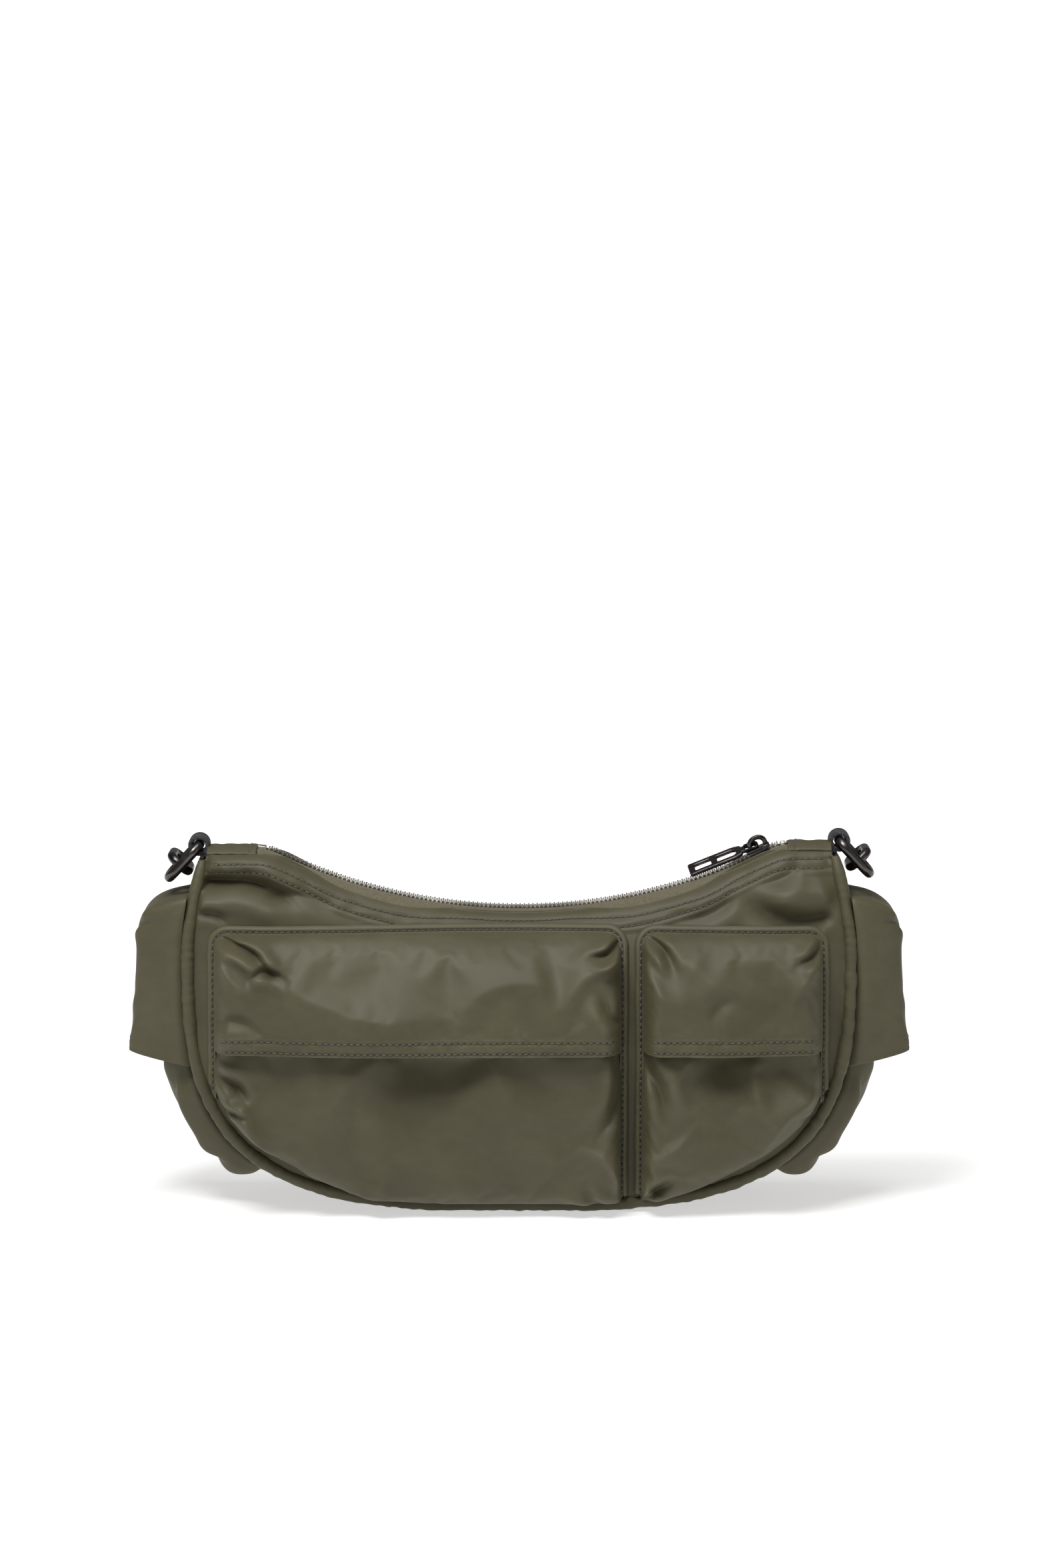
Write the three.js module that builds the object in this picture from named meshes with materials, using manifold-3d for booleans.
// A nylon crossbody bag: a crescent-topped body with a curved zip, two bellows pockets in front, one on each end,
// and a ring and a link at each top corner for a strap. Millimetres, +X to the wearer's right as seen from in front,
// -Y the front, +Z up, with the origin under the middle of the bag on the surface that it stands on.
import * as THREE from "three";
import { mergeVertices } from "three/addons/utils/BufferGeometryUtils.js";
import Module from "manifold-3d";

const wasm = await Module();
wasm.setup();

// ---------- Driving dimensions ----------
const ZIP_PLANE_Y = 11.24; // the zip lies behind the middle of the box, because the front pockets stand out
const FABRIC = 1.4; // shell fabric with its backing
const THIN = 1.1; // pocket and flap fabric
const GAP = 0.35; // between pieces that touch

const BODY = {
  halfWidth: 161, // to the welt's centre line
  shoulder: 130, // the sides are upright above this height
  roundness: 3.2, // superellipse exponent of the lower corners
  topTaper: 0.045, // share of the width lost at the top corners
  height: 172,
  seamLift: 3.4, // the welt's centre above the floor
  flatten: 0.3, // how much of the curve is cut off to give the flat base
  seamDepth: 31, // half the depth at the seam, near the floor
  depthTaper: 10,
  belly: 7, // how far the panels bulge past their seams
  topDepth: 8.5, // half the depth at the panels' top edges
  topRoll: 60, // height over which a panel rolls in towards the zip
};
const WELT_RADIUS = 3.1;
const PANEL_INSET = WELT_RADIUS + GAP + 0.1;

const ZIP = {
  radius: 270, // of the arc that the slider runs along
  centreX: 0,
  lowest: 143.5,
  leftArc: 118,
  rightArc: 122,
  easeOut: 10, // past each end of the arc the edge levels off over this length
  rise: 1.6, // the chain stands this much above the panels' edges
  chainHalfHeight: 1.3,
  toothInner: 0.55,
  toothOuter: 2.7,
  tapeInner: 3.0,
  tapeOuter: 6.7,
  left: -123,
  right: 127,
};
const SLIDER_X = 118;

// Each front pocket: its left and right borders, its flap's top and hem, and how far it stands out.
const POCKET_MOUTH = 96;
const POCKET_FOOT = 3.2; // above the panel's own lower edge
const FLAP_TOP = 139.5;
const FLAP_HEM = 82;
const BINDING = 2.8; // width of the sewn edge round each front flap
const FRONT_POCKETS = {
  large: { left: -150.5, right: 52, snapX: -42 },
  small: { left: 57, right: 149.5, snapX: 100 },
};
const POCKET_DEPTH = 16.5;
const FLAP_DEPTH = 21.5;
const POCKET_FOLD = 9; // the bellows fold's inset from the border

// The end pockets sit on the gusset.
const END = {
  flapHalf: 24, // half the flap's width, front to back
  flapTop: 152,
  flapHem: 70,
  hemRise: 7, // the hem climbs this much from the gusset to its outer edge
  flapRoll: 17, // height over which the flap's top rolls over
  hemReach: 190, // of the flap's face from the middle of the bag, at the hem
  topReach: 186.5,
  fold: 8,
  pocketMouth: 92,
  pocketFoot: 23, // height of the gusset under the pocket's lower end
  pocketDepth: 12.5,
};

// Strap hardware.
const LOOP = { x: 156.5, lift: 7, hole: 2.65, wall: 1.9, width: 9.4, tail: 13 };
const RING = { wire: 2.1, width: 18, length: 21.5, corner: 5.5, leanDegrees: 43 };
const LINK = { wire: 2.1, radius: 5.4, straight: 11, hangs: 4.9 };

const OLIVE = 0x5c5a48;
const COLOURS = {
  shell: new THREE.MeshStandardMaterial({ color: OLIVE, roughness: 0.55, metalness: 0 }),
  lining: new THREE.MeshStandardMaterial({ color: 0x2b2b28, roughness: 0.8, metalness: 0 }),
  tape: new THREE.MeshStandardMaterial({ color: 0x7b7355, roughness: 0.85, metalness: 0 }),
  chain: new THREE.MeshStandardMaterial({ color: 0xc9c4b6, roughness: 0.3, metalness: 1 }),
  gunmetal: new THREE.MeshStandardMaterial({ color: 0x3c3a3a, roughness: 0.35, metalness: 1 }),
  leather: new THREE.MeshStandardMaterial({ color: 0x26262a, roughness: 0.6, metalness: 0 }),
};

// ---------- Shared curves of the body ----------
const clamp = (value, low, high) => Math.min(high, Math.max(low, value));
const mix = (a, b, share) => a + (b - a) * share;
const quarterRound = (share) => Math.sqrt(1 - (1 - clamp(share, 0, 1)) ** 2);

function arcSag(dx) {
  return ZIP.radius - Math.sqrt(ZIP.radius ** 2 - dx ** 2);
}

// Height of the panels' top edge.
function topEdge(x) {
  const dx = Math.abs(x - ZIP.centreX);
  const end = x < ZIP.centreX ? ZIP.leftArc : ZIP.rightArc;
  if (dx <= end) return ZIP.lowest + arcSag(dx);
  const over = Math.min(dx - end, ZIP.easeOut);
  const slope = end / Math.sqrt(ZIP.radius ** 2 - end ** 2);
  return ZIP.lowest + arcSag(end) + slope * (over - over ** 2 / (2 * ZIP.easeOut));
}

function sideTaper(z) {
  const above = clamp((z - BODY.shoulder) / (BODY.height - BODY.shoulder), 0, 1);
  return 1 - BODY.topTaper * above ** 1.5;
}

// Height of the welt line under x, or of a line set in from it.
function bottomEdge(x, inset = 0) {
  const half = BODY.halfWidth - inset;
  const drop = BODY.shoulder - BODY.seamLift - inset;
  const share = Math.max(0, 1 - Math.abs(x / half) ** BODY.roundness);
  const curved = BODY.shoulder - drop * share ** (1 / BODY.roundness) - BODY.flatten;
  return Math.max(BODY.seamLift + inset, curved);
}

// Half the body's depth at a point of its face.
function halfDepth(x, z) {
  const sideways = Math.abs(x) / (BODY.halfWidth * sideTaper(z));
  const down = clamp((BODY.shoulder - z) / (BODY.shoulder - BODY.seamLift), 0, 1);
  const outward = (sideways ** BODY.roundness + down ** BODY.roundness) ** (1 / BODY.roundness);
  const bulge = BODY.belly * (1 - clamp(outward, 0, 1) ** 4);
  const full = BODY.seamDepth - BODY.depthTaper * (z / BODY.height) ** 2 + bulge;
  return mix(BODY.topDepth, full, quarterRound((topEdge(x) - z) / BODY.topRoll));
}

// The welt's centre line from the left top corner, under the bag, to the right top corner.
function weltLine() {
  const points = [];
  const top = (side) => topEdge(side * BODY.halfWidth) - 3.6;
  const upright = (side) =>
    [0, 0.35, 0.7].map((t) => {
      const z = mix(top(side), BODY.shoulder, t);
      return new THREE.Vector3(side * BODY.halfWidth * sideTaper(z), 0, z);
    });
  points.push(...upright(-1));
  const steps = 36;
  for (let i = 0; i <= steps; i++) {
    const angle = Math.PI * (1 - i / steps);
    const power = 2 / BODY.roundness;
    const x = BODY.halfWidth * Math.sign(Math.cos(angle)) * Math.abs(Math.cos(angle)) ** power;
    points.push(new THREE.Vector3(x, 0, bottomEdge(x)));
  }
  points.push(...upright(1).reverse());
  return new THREE.CatmullRomCurve3(points, false, "centripetal");
}
const WELT_LINE = weltLine();

// A point of the gusset's outside: t runs along the welt line, w from -1 at the front seam to 1 at the back one.
function gussetPoint(t, w, lift = 0) {
  const at = WELT_LINE.getPointAt(t);
  const along = WELT_LINE.getTangentAt(t);
  const full = mix(BODY.seamLift, 1.6, THREE.MathUtils.smoothstep(at.z, 140, 165)) - 0.1;
  const bulge = full * THREE.MathUtils.smoothstep(1 - Math.abs(w), 0, 0.25) + lift;
  const depth = halfDepth(at.x, at.z) - PANEL_INSET;
  return new THREE.Vector3(at.x + along.z * bulge, w * depth, at.z - along.x * bulge);
}

// ---------- Solids ----------
function solidFrom(positions, triangles) {
  const geometry = new THREE.BufferGeometry();
  geometry.setAttribute("position", new THREE.Float32BufferAttribute(positions, 3));
  let volume = 0;
  const corner = (i) => new THREE.Vector3().fromArray(positions, 3 * i);
  for (let i = 0; i < triangles.length; i += 3) {
    const [a, b, c] = triangles.slice(i, i + 3).map(corner);
    volume += a.dot(b.cross(c));
  }
  if (volume < 0) triangles.reverse();
  geometry.setIndex(triangles);
  return geometry;
}

// A sheet of fabric as a closed solid: surface(u, v) is its outside for u in columns and v in rows, and the inside is
// the same grid moved by thickness along the surface's normal, to the side that the sign picks, or along direction.
function sheet(surface, columns, rows, thickness, direction = null) {
  const step = 1e-3;
  const inside = (u, v) => {
    if (direction) return surface(u, v).addScaledVector(direction, thickness);
    const du = surface(Math.min(u + step, 1), v).sub(surface(Math.max(u - step, 0), v));
    const dv = surface(u, Math.min(v + step, 1)).sub(surface(u, Math.max(v - step, 0)));
    return surface(u, v).addScaledVector(du.cross(dv).normalize(), thickness);
  };
  const positions = [];
  for (const layer of [surface, inside]) {
    for (const v of rows) for (const u of columns) positions.push(...layer(u, v).toArray());
  }
  const wide = columns.length;
  const high = rows.length;
  const index = (layer, i, j) => (layer * high + j) * wide + i;
  const triangles = [];
  const quad = (a, b, c, d) => triangles.push(a, b, c, a, c, d);
  for (let j = 0; j < high - 1; j++) {
    for (let i = 0; i < wide - 1; i++) {
      quad(index(0, i, j), index(0, i + 1, j), index(0, i + 1, j + 1), index(0, i, j + 1));
      quad(index(1, i, j), index(1, i, j + 1), index(1, i + 1, j + 1), index(1, i + 1, j));
    }
    quad(index(0, 0, j), index(0, 0, j + 1), index(1, 0, j + 1), index(1, 0, j));
    quad(index(0, wide - 1, j), index(1, wide - 1, j), index(1, wide - 1, j + 1), index(0, wide - 1, j + 1));
  }
  for (let i = 0; i < wide - 1; i++) {
    quad(index(0, i, 0), index(1, i, 0), index(1, i + 1, 0), index(0, i + 1, 0));
    quad(index(0, i, high - 1), index(0, i + 1, high - 1), index(1, i + 1, high - 1), index(1, i, high - 1));
  }
  return solidFrom(positions, triangles);
}

const evenly = (count) => Array.from({ length: count + 1 }, (_, i) => i / count);
const cosineSpaced = (count) => evenly(count).map((t) => (1 - Math.cos(Math.PI * t)) / 2);

// Column places for a bellows pocket: close together at both folds, even between them.
function foldColumns(width, fold, between) {
  const edge = [0, 0.12, 0.4, 1].map((share) => (share * fold) / width);
  const middle = evenly(between).slice(1, -1);
  const inner = middle.map((t) => mix(edge[3], 1 - edge[3], t));
  return [...edge, ...inner, ...edge.map((t) => 1 - t).reverse()];
}

function outlineShape(points) {
  return new THREE.Shape(points.map(([x, y]) => new THREE.Vector2(x, y)));
}

function extruded(shape, depth, curveSegments = 8) {
  return new THREE.ExtrudeGeometry(shape, { depth, bevelEnabled: false, curveSegments, steps: 1 });
}

function tube(curve, radius, sides, steps) {
  const section = new THREE.Shape();
  section.absarc(0, 0, radius, 0, 2 * Math.PI);
  return new THREE.ExtrudeGeometry(section, {
    extrudePath: curve,
    steps,
    curveSegments: sides / 2,
    bevelEnabled: false,
  });
}

// A closed wire loop, swept round its own centre line with parallel sections.
function wireLoop(points, radius, sides = 8) {
  const positions = [];
  const triangles = [];
  const count = points.length;
  const normal = new THREE.Vector3(0, 0, 1);
  points.forEach((at, i) => {
    const along = points[(i + 1) % count].clone().sub(points[(i + count - 1) % count]).normalize();
    const out = along.cross(normal).normalize();
    for (let k = 0; k < sides; k++) {
      const angle = (2 * Math.PI * (k + 0.5)) / sides;
      const place = at.clone().addScaledVector(out, radius * Math.cos(angle));
      place.addScaledVector(normal, radius * Math.sin(angle));
      positions.push(...place.toArray());
    }
  });
  for (let i = 0; i < count; i++) {
    for (let k = 0; k < sides; k++) {
      const [a, b] = [i * sides + k, i * sides + ((k + 1) % sides)];
      const [c, d] = [((i + 1) % count) * sides + k, ((i + 1) % count) * sides + ((k + 1) % sides)];
      triangles.push(a, b, d, a, d, c);
    }
  }
  return solidFrom(positions, triangles);
}

function toManifold(geometry) {
  const bare = geometry.clone();
  bare.deleteAttribute("normal");
  bare.deleteAttribute("uv");
  const merged = mergeVertices(bare, 1e-4);
  return new wasm.Manifold(
    new wasm.Mesh({
      numProp: 3,
      vertProperties: merged.getAttribute("position").array,
      triVerts: new Uint32Array(merged.index.array),
    }),
  );
}

// One solid out of several that overlap, less those in cuts.
function joined(parts, cuts = []) {
  let solid = toManifold(parts[0]);
  for (const part of parts.slice(1)) solid = solid.add(toManifold(part));
  for (const cut of cuts) solid = solid.subtract(toManifold(cut));
  const mesh = solid.getMesh();
  const geometry = new THREE.BufferGeometry();
  geometry.setAttribute("position", new THREE.BufferAttribute(mesh.vertProperties, 3));
  geometry.setIndex(new THREE.BufferAttribute(mesh.triVerts, 1));
  return geometry;
}

const bag = new THREE.Group();
bag.position.y = ZIP_PLANE_Y;

function add(name, geometry, material, parent = bag) {
  const mesh = new THREE.Mesh(geometry, material);
  mesh.name = name;
  parent.add(mesh);
  return mesh;
}

// ---------- Shell ----------
function panelSurface(side) {
  return (u, v) => {
    const half = BODY.halfWidth - PANEL_INSET;
    const x = half * (2 * u - 1);
    const z = mix(bottomEdge(x, PANEL_INSET), topEdge(x), v);
    const tapered = x * sideTaper(z);
    return new THREE.Vector3(tapered, side * halfDepth(tapered, Math.min(z, topEdge(tapered))), z);
  };
}
const PANEL_ROWS = [0, 0.12, 0.28, 0.46, 0.64, 0.8, 0.91, 0.97, 1];
const panelColumns = cosineSpaced(22);
const TO_BACK = new THREE.Vector3(0, 1, 0);
add("front_panel", sheet(panelSurface(-1), panelColumns, PANEL_ROWS, FABRIC, TO_BACK), COLOURS.shell);
add("back_panel", sheet(panelSurface(1), panelColumns, PANEL_ROWS, -FABRIC, TO_BACK), COLOURS.shell);

const gussetAcross = [-1, -0.88, -0.75, -0.3, 0.3, 0.75, 0.88, 1].map((w) => (w + 1) / 2);
const gussetSurface = (u, v) => gussetPoint(u, 2 * v - 1);
add("gusset", sheet(gussetSurface, evenly(34), gussetAcross, FABRIC), COLOURS.shell);

function welt(side) {
  const points = evenly(44).map((t) => {
    const at = WELT_LINE.getPointAt(t);
    return at.setY(side * (halfDepth(at.x, at.z) - 0.2));
  });
  return tube(new THREE.CatmullRomCurve3(points), WELT_RADIUS, 8, 44);
}
add("front_welt", welt(-1), COLOURS.shell);
add("back_welt", welt(1), COLOURS.shell);

// The lining is a flat pouch hung from the zip: front and back layers that meet at the ends.
function liningSurface(u, v) {
  const half = 146;
  const x = half * (2 * u - 1);
  const foot = bottomEdge(x, 12);
  const side = v < 0.5 ? -1 : 1;
  const up = Math.abs(2 * v - 1);
  const z = mix(foot, topEdge(x) - 7, up ** 1.4);
  const roomy = Math.sqrt(1 - (x / (half + 3)) ** 2);
  const depth = mix(0, halfDepth(x, z) - 4.5, quarterRound(up * 2.2) * roomy) + (up > 0 ? 0.9 : 0);
  return new THREE.Vector3(x, side * depth, z);
}
const liningRows = [0, 0.12, 0.26, 0.38, 0.46, 0.5, 0.54, 0.62, 0.74, 0.88, 1];
add("lining", sheet(liningSurface, cosineSpaced(16), liningRows, -0.6), COLOURS.lining);

// ---------- Zip ----------
const zipHeight = (x) => topEdge(x) + ZIP.rise;

function zipTape(side) {
  const surface = (u, v) => {
    const x = mix(ZIP.left - 5, ZIP.right + 4, u);
    const y = mix(ZIP.tapeOuter, ZIP.tapeInner, v);
    return new THREE.Vector3(x, side * y, zipHeight(x) - 0.1 - 1.1 * (1 - v));
  };
  return sheet(surface, evenly(36), [0, 1], side * 0.7);
}
function zipTeeth(side) {
  const surface = (u, v) => {
    const x = mix(ZIP.left, ZIP.right, u);
    return new THREE.Vector3(x, side * mix(ZIP.toothOuter, ZIP.toothInner, v), zipHeight(x) + ZIP.chainHalfHeight);
  };
  return sheet(surface, evenly(36), [0, 1], side * 2 * ZIP.chainHalfHeight);
}
for (const [name, side] of [["front", -1], ["back", 1]]) {
  add(`zip_tape_${name}`, zipTape(side), COLOURS.tape);
  add(`zip_teeth_${name}`, zipTeeth(side), COLOURS.chain);
  const stop = new THREE.BoxGeometry(2.4, 2, 2.6);
  const clip = add(`zip_top_stop_${name}`, stop, COLOURS.chain);
  clip.position.set(ZIP.right + 2, side * 1.65, zipHeight(ZIP.right + 2));
}
const bottomStop = add("zip_bottom_stop", new THREE.BoxGeometry(4.4, 5, 2.6), COLOURS.chain);
bottomStop.position.set(ZIP.left - 3, 0, zipHeight(ZIP.left - 3));

// Fabric patches that close the ends of the zip.
function endTab(from, to) {
  const surface = (u, v) => {
    const x = mix(from, to, u);
    const y = mix(-ZIP.tapeOuter, ZIP.tapeOuter, v);
    return new THREE.Vector3(x, y, topEdge(x) + 1.5 * (1 - (y / (ZIP.tapeOuter + 2)) ** 2));
  };
  return sheet(surface, evenly(4), evenly(4), -1.2);
}
add("zip_end_tab_left", endTab(-LOOP.x + 5.2, ZIP.left - 6), COLOURS.shell);
add("zip_end_tab_right", endTab(ZIP.right + 5, LOOP.x - 5.2), COLOURS.shell);

// The slider and its pull are modelled level, then turned to the slope of the zip where they stand when it is shut.
const zipCentre = new THREE.Vector3(ZIP.centreX, 0, ZIP.lowest + ZIP.rise + ZIP.radius);
const sliderTilt = Math.asin((SLIDER_X - ZIP.centreX) / ZIP.radius);
const slider = new THREE.Group();
slider.position.set(SLIDER_X, 0, zipCentre.z - ZIP.radius * Math.cos(sliderTilt));
slider.rotation.y = -sliderTilt;
bag.add(slider);

const PLATE = { length: 12, front: 9.2, back: 7, thickness: 1.3, gap: 1.75 };
const BAIL = { x: 0.5, radius: 3.9, wire: 0.95, centreZ: 4.6 };

function sliderPlate(z) {
  const half = PLATE.length / 2;
  const shape = outlineShape([
    [-half, -PLATE.back / 2],
    [half - 2.5, -PLATE.front / 2],
    [half, -PLATE.front / 2 + 2.2],
    [half, PLATE.front / 2 - 2.2],
    [half - 2.5, PLATE.front / 2],
    [-half, PLATE.back / 2],
  ]);
  return extruded(shape, PLATE.thickness).translate(0, 0, z);
}
function bailArch() {
  const foot = PLATE.gap + PLATE.thickness - 0.5;
  const arch = evenly(8).map((t) => {
    const angle = Math.PI * (1 - t);
    const rise = BAIL.radius * Math.sin(angle);
    return new THREE.Vector3(BAIL.x + BAIL.radius * Math.cos(angle), 0, BAIL.centreZ + rise);
  });
  const legs = [-1, 1].map((end) => new THREE.Vector3(BAIL.x + end * BAIL.radius, 0, foot));
  return tube(new THREE.CatmullRomCurve3([legs[0], ...arch, legs[1]]), BAIL.wire, 8, 16);
}
const post = new THREE.BoxGeometry(3, 0.5, 2 * PLATE.gap + 1).translate(PLATE.length / 2 - 2.2, 0, 0);
const sliderSolid = joined([
  sliderPlate(PLATE.gap),
  sliderPlate(-PLATE.gap - PLATE.thickness),
  post,
  bailArch(),
]);
add("zip_slider", sliderSolid, COLOURS.gunmetal, slider);

// The pull is threaded on the bail and turns about the arch's centre; shut, it lies back along the chain.
const PULL = { length: 32, width: 9.5, thickness: 1.6, eye: 3.1, rim: 1.5 };
function pullPlate() {
  const half = PULL.width / 2;
  const shape = new THREE.Shape();
  shape.moveTo(PULL.eye + PULL.rim, -PULL.eye - PULL.rim + 1.4);
  shape.absarc(0, 0, PULL.eye + PULL.rim, -0.75, 0.75, false);
  shape.lineTo(-4.2, PULL.eye + PULL.rim - 0.4);
  shape.lineTo(-8, half);
  shape.lineTo(-PULL.length + 2, half);
  shape.lineTo(-PULL.length, half - 2);
  shape.lineTo(-PULL.length, -half + 2);
  shape.lineTo(-PULL.length + 2, -half);
  shape.lineTo(-8, -half);
  shape.lineTo(-4.2, -PULL.eye - PULL.rim + 0.4);
  const windows = [
    [-PULL.length + 3, -PULL.length + 12, half - 2.2],
    [-PULL.length + 15.5, -7.5, half - 2.6],
  ].map(([from, to, reach]) => {
    const window = new THREE.Path();
    window.moveTo(from, -reach);
    window.lineTo(to, -reach);
    window.lineTo(to, reach);
    window.lineTo(from, reach);
    return window;
  });
  const eye = new THREE.Path();
  eye.moveTo(-2.4, -PULL.eye + 0.6);
  eye.lineTo(1.6, -PULL.eye + 0.6);
  eye.quadraticCurveTo(PULL.eye, 0, 1.6, PULL.eye - 0.6);
  eye.lineTo(-2.4, PULL.eye - 0.6);
  shape.holes.push(...windows, eye);
  return extruded(shape, PULL.thickness, 6).translate(0, 0, -PULL.thickness / 2);
}
const pull = add("zip_pull", pullPlate(), COLOURS.gunmetal, slider);
pull.position.set(BAIL.x - BAIL.radius, 0, BAIL.centreZ);

// ---------- Front pockets ----------
// How far a bellows side has opened at a distance from the line that it is sewn along, as a share of its depth.
function foldRise(fromSeam, fold) {
  return quarterRound(fromSeam / fold);
}

const POCKET_COLUMNS = 8;
const ON_PANEL = THIN + 0.9; // outer face of a piece that lies on the panel
const TUCK = BINDING + THIN + 2.2; // a pocket's mouth is narrower than the flap over it by this much each side

function pocketFace({ left, right }, x, z) {
  const foot = bottomEdge(x, PANEL_INSET) + POCKET_FOOT;
  const fromFoot = quarterRound((z - foot) / 16);
  const tuck = mix(GAP, TUCK, THREE.MathUtils.smoothstep(z, FLAP_HEM - 16, FLAP_HEM - 2));
  const fromSide = Math.min(x - left, right - x) - tuck;
  const slack = mix(1, 0.88, THREE.MathUtils.smoothstep(z, 45, FLAP_HEM));
  const opened = foldRise(fromSide, POCKET_FOLD) * fromFoot * slack;
  return -halfDepth(x, z) - ON_PANEL - (POCKET_DEPTH - ON_PANEL) * opened;
}

function frontPocket(pocket) {
  const { left, right } = pocket;
  const surface = (u, v) => {
    const tuckAt = (z) => mix(GAP, TUCK, THREE.MathUtils.smoothstep(z, FLAP_HEM - 16, FLAP_HEM - 2));
    const footX = mix(left + GAP, right - GAP, u);
    const foot = bottomEdge(footX, PANEL_INSET) + POCKET_FOOT;
    const z = mix(foot, POCKET_MOUTH, v);
    const x = mix(left + tuckAt(z), right - tuckAt(z), u);
    return new THREE.Vector3(x, pocketFace(pocket, x, z), z);
  };
  const rows = [0, 0.07, 0.2, 0.5, 0.68, 0.76, 0.84, 1];
  return sheet(surface, foldColumns(right - left, POCKET_FOLD, POCKET_COLUMNS), rows, -THIN);
}

// The top border of a front flap, with rounded corners.
function flapTopEdge(x, { left, right }, radius, inset) {
  const fromSide = clamp(Math.min(x - left, right - x) - inset, 0, radius);
  return FLAP_TOP - inset - radius * (1 - quarterRound(fromSide / radius));
}

const FLAP_INSET = BINDING + GAP;
function flapFace(pocket, x, z) {
  const top = flapTopEdge(x, pocket, 7, FLAP_INSET + 0.4);
  const share = THREE.MathUtils.smootherstep(top - z, 0, top - FLAP_HEM);
  const deep = mix(FLAP_DEPTH * 0.7, FLAP_DEPTH, share) * quarterRound((top - z) / 14);
  const border = Math.min(x - pocket.left, pocket.right - x) - FLAP_INSET;
  return -halfDepth(x, z) - ON_PANEL - 0.5 - (deep - THIN) * foldRise(border + 0.3, POCKET_FOLD);
}

function frontFlap(pocket) {
  const { left, right } = pocket;
  const surface = (u, v) => {
    const x = mix(left + FLAP_INSET, right - FLAP_INSET, u);
    const z = mix(FLAP_HEM, flapTopEdge(x, pocket, 7, FLAP_INSET + 0.4), v);
    return new THREE.Vector3(x, flapFace(pocket, x, z), z);
  };
  const columns = foldColumns(right - left - 2 * FLAP_INSET, POCKET_FOLD, POCKET_COLUMNS);
  return sheet(surface, columns, [0, 0.3, 0.6, 0.8, 0.92, 0.98, 1], -THIN);
}

// The sewn edge round the flap: a flat strip up one side, over the top and down the other.
function bindingRoute({ left, right }, inset) {
  const radius = 9;
  const reach = radius - inset;
  const high = FLAP_TOP - radius;
  const sides = evenly(5).map((t) => mix(FLAP_HEM, high, t));
  const turns = [0.33, 0.67, 1].map((t) => (t * Math.PI) / 2);
  const across = evenly(10).slice(1, -1);
  return [
    ...sides.map((z) => [left + inset, z]),
    ...turns.map((a) => [left + radius - reach * Math.cos(a), high + reach * Math.sin(a)]),
    ...across.map((t) => [mix(left + radius, right - radius, t), FLAP_TOP - inset]),
    ...turns.reverse().map((a) => [right - radius + reach * Math.cos(a), high + reach * Math.sin(a)]),
    ...sides.reverse().map((z) => [right - inset, z]),
  ];
}

function flapBinding(pocket) {
  const outer = bindingRoute(pocket, 0);
  const inner = bindingRoute(pocket, BINDING);
  const last = outer.length - 1;
  const surface = (u, v) => {
    const i = Math.round(u * last);
    const x = mix(outer[i][0], inner[i][0], v);
    const z = mix(outer[i][1], inner[i][1], v);
    return new THREE.Vector3(x, -halfDepth(x, z) - ON_PANEL, z);
  };
  return sheet(surface, evenly(last), [0, 1], THIN, TO_BACK);
}

// Magnetic snap: a socket on the pocket and a stud inside the flap, facing each other.
const SNAP = { z: 88.5, radius: 5.5, height: 1.3 };
function snapHalf(name, x, y) {
  const disc = new THREE.CylinderGeometry(SNAP.radius - 0.5, SNAP.radius, SNAP.height, 16);
  add(name, disc, COLOURS.gunmetal).position.set(x, y, SNAP.z);
}

for (const [name, pocket] of Object.entries(FRONT_POCKETS)) {
  add(`${name}_pocket`, frontPocket(pocket), COLOURS.shell);
  add(`${name}_flap`, frontFlap(pocket), COLOURS.shell);
  add(`${name}_flap_binding`, flapBinding(pocket), COLOURS.shell);
  const inFront = pocketFace(pocket, pocket.snapX, SNAP.z);
  const behind = flapFace(pocket, pocket.snapX, SNAP.z + SNAP.radius) + THIN + 0.3;
  snapHalf(`${name}_snap_socket`, pocket.snapX, inFront - GAP - SNAP.height / 2);
  snapHalf(`${name}_snap_stud`, pocket.snapX, behind + GAP + SNAP.height / 2);
}

// ---------- End pockets ----------
// Where the welt line reaches a height, on the left (side -1) or the right (side 1).
function lineAtHeight(z, side) {
  let [low, high] = [0, 0.5];
  for (let i = 0; i < 40; i++) {
    const middle = (low + high) / 2;
    const t = side < 0 ? middle : 1 - middle;
    if (WELT_LINE.getPointAt(t).z > z) low = middle;
    else high = middle;
  }
  return side < 0 ? low : 1 - low;
}

function gussetReach(z) {
  const down = clamp((BODY.shoulder - z) / (BODY.shoulder - BODY.seamLift), 0, 1);
  const half = BODY.halfWidth * (1 - down ** BODY.roundness) ** (1 / BODY.roundness);
  return half * sideTaper(z) + BODY.seamLift;
}

function endPocket(side) {
  const top = lineAtHeight(END.pocketMouth, side);
  const foot = lineAtHeight(END.pocketFoot, side);
  const length = Math.abs(foot - top) * WELT_LINE.getLength();
  const surface = (u, v) => {
    const t = mix(foot, top, v);
    const at = WELT_LINE.getPointAt(t);
    const along = WELT_LINE.getTangentAt(t);
    const tuck = mix(0, THIN + 1.6, THREE.MathUtils.smoothstep(at.z, END.flapHem - 14, END.flapHem));
    const half = Math.min(END.flapHalf, halfDepth(at.x, at.z) - PANEL_INSET - 3) - tuck;
    const y = half * (2 * u - 1);
    const opened = foldRise(half - Math.abs(y), END.fold) * quarterRound((v * length) / 16);
    const lift = BODY.seamLift + THIN + 0.5 + (END.pocketDepth - THIN) * opened;
    return new THREE.Vector3(at.x + along.z * lift, y, at.z - along.x * lift);
  };
  const columns = foldColumns(2 * END.flapHalf, END.fold, 4);
  return sheet(surface, columns, [0, 0.05, 0.15, 0.3, 0.45, 0.6, 0.75, 0.87, 1], side * THIN);
}

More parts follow.
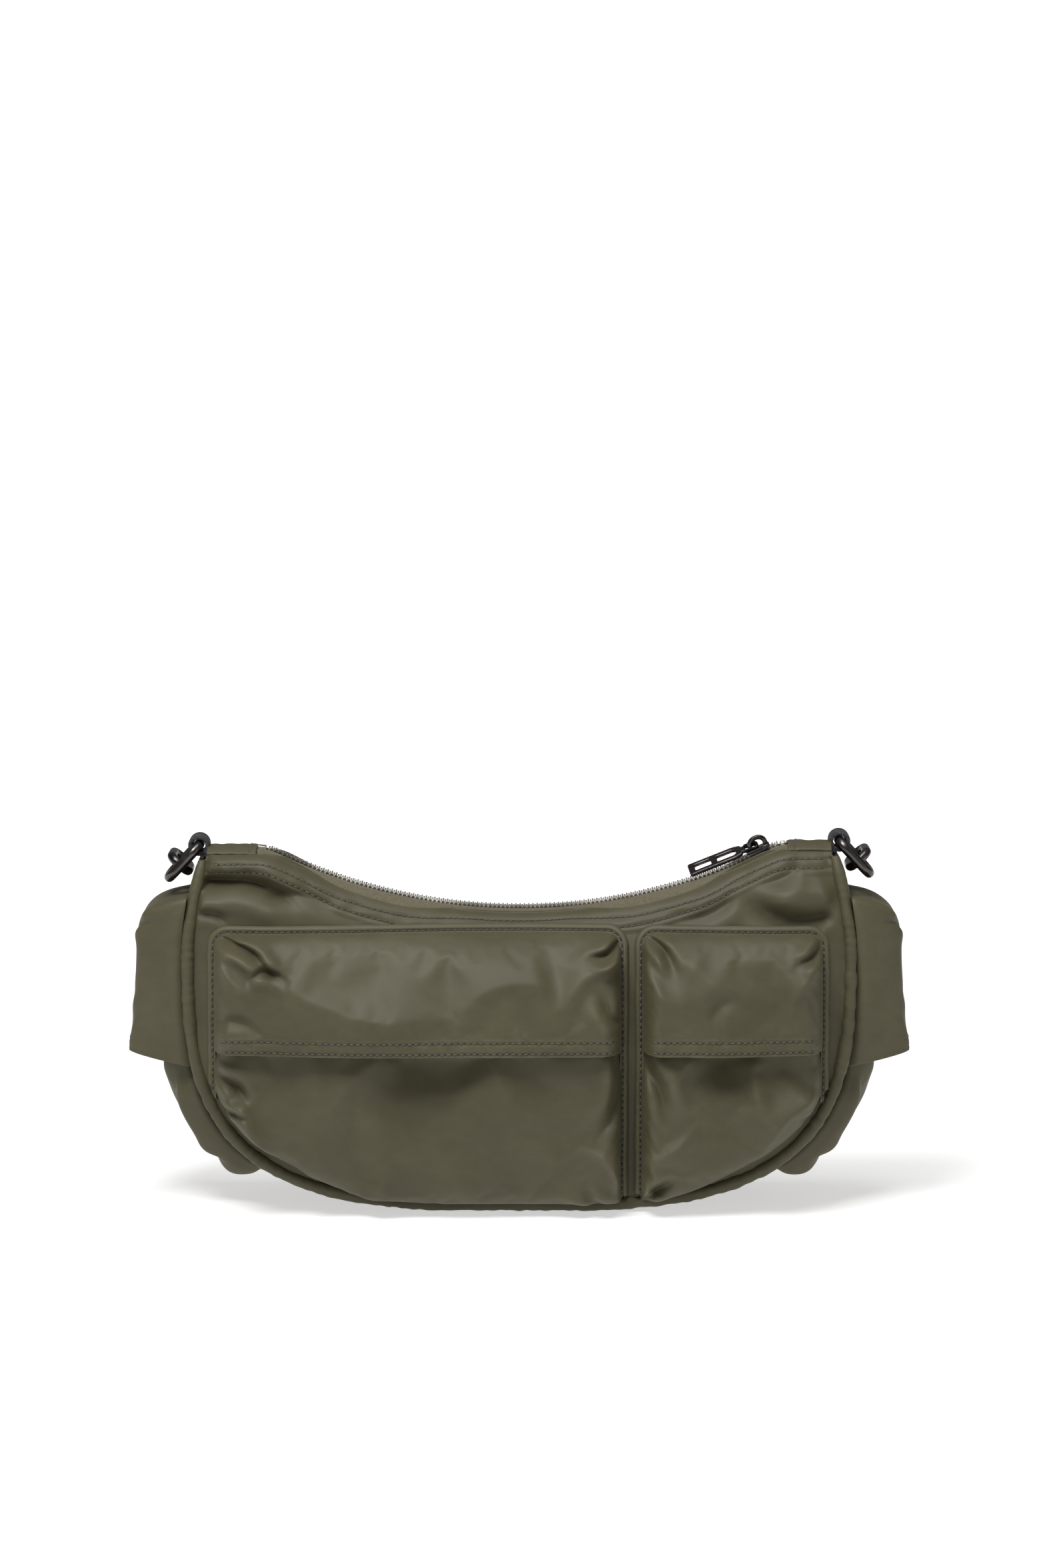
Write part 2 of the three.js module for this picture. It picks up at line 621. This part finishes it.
function endFlap(side) {
  const surface = (u, v) => {
    const y = END.flapHalf * (2 * u - 1);
    const opened = foldRise(END.flapHalf - Math.abs(y), END.fold);
    const z = mix(END.flapHem + END.hemRise * opened, END.flapTop, v);
    const base = gussetReach(z) + THIN + 0.6;
    const reach = mix(END.hemReach, END.topReach, THREE.MathUtils.smoothstep(z, END.flapHem, 118));
    const out = base + (reach - base) * opened * quarterRound((END.flapTop - z) / END.flapRoll);
    return new THREE.Vector3(side * out, y, z);
  };
  const columns = foldColumns(2 * END.flapHalf, END.fold, 4);
  return sheet(surface, columns, [0, 0.25, 0.5, 0.7, 0.83, 0.92, 0.97, 1], side * -THIN);
}

// ---------- Strap hardware ----------
function leatherLoop(side) {
  const outer = LOOP.hole + LOOP.wall;
  const shape = new THREE.Shape();
  const turn = Math.acos(-LOOP.hole / outer);
  const low = -outer * Math.sin(turn);
  shape.moveTo(-outer, -LOOP.tail);
  shape.lineTo(-LOOP.hole, -LOOP.tail);
  shape.lineTo(-LOOP.hole, low);
  shape.absarc(0, 0, outer, -turn, Math.PI, false);
  const hole = new THREE.Path();
  hole.absarc(0, 0, LOOP.hole, 0, 2 * Math.PI, true);
  shape.holes.push(hole);
  const solid = extruded(shape, LOOP.width, 10).rotateX(Math.PI / 2).translate(0, LOOP.width / 2, 0);
  return side < 0 ? solid.rotateZ(Math.PI) : solid;
}

// Points of an oval's centre line in the XY plane, long in X: its arcs turn round corners of the given radius.
function ovalPoints(length, width, corner, perCorner) {
  const points = [];
  for (let quarter = 0; quarter < 4; quarter++) {
    const signX = quarter === 0 || quarter === 3 ? 1 : -1;
    const signY = quarter < 2 ? 1 : -1;
    for (let i = 0; i <= perCorner; i++) {
      const angle = (Math.PI / 2) * (quarter + i / perCorner);
      const x = signX * (length / 2 - corner) + corner * Math.cos(angle);
      const y = signY * (width / 2 - corner) + corner * Math.sin(angle);
      const last = points[points.length - 1];
      if (!last || Math.hypot(last.x - x, last.y - y) > 0.05) points.push(new THREE.Vector3(x, y, 0));
    }
  }
  const [first, last] = [points[0], points[points.length - 1]];
  if (first.distanceTo(last) < 0.05) points.pop();
  return points;
}

for (const [name, side] of [["left", -1], ["right", 1]]) {
  add(`${name}_end_pocket`, endPocket(side), COLOURS.shell);
  add(`${name}_end_flap`, endFlap(side), COLOURS.shell);
  const loop = add(`${name}_leather_loop`, leatherLoop(side), COLOURS.leather);
  loop.position.set(side * LOOP.x, 0, topEdge(side * BODY.halfWidth) - 3.6 + LOOP.lift);

  // The ring leans outwards from the loop's hole; the link is threaded on the ring's rear limb and points back.
  const lean = THREE.MathUtils.degToRad(RING.leanDegrees);
  const hung = new THREE.Group();
  hung.position.copy(loop.position);
  hung.rotation.y = Math.PI / 2 - side * lean;
  bag.add(hung);
  const ringPoints = ovalPoints(RING.length, RING.width, RING.corner, 5);
  const ring = wireLoop(ringPoints, RING.wire).translate(RING.length / 2, 0, 0);
  add(`${name}_ring`, ring, COLOURS.gunmetal, hung);
  const linkLength = LINK.straight + 2 * LINK.radius;
  const link = wireLoop(ovalPoints(linkLength, 2 * LINK.radius, LINK.radius, 5), LINK.wire)
    .rotateZ(Math.PI / 2)
    .rotateY(Math.PI / 2)
    .translate(RING.length - RING.corner - 1, RING.width / 2 - LINK.hangs + linkLength / 2, 0);
  add(`${name}_link`, link, COLOURS.gunmetal, hung);
}

export default bag;
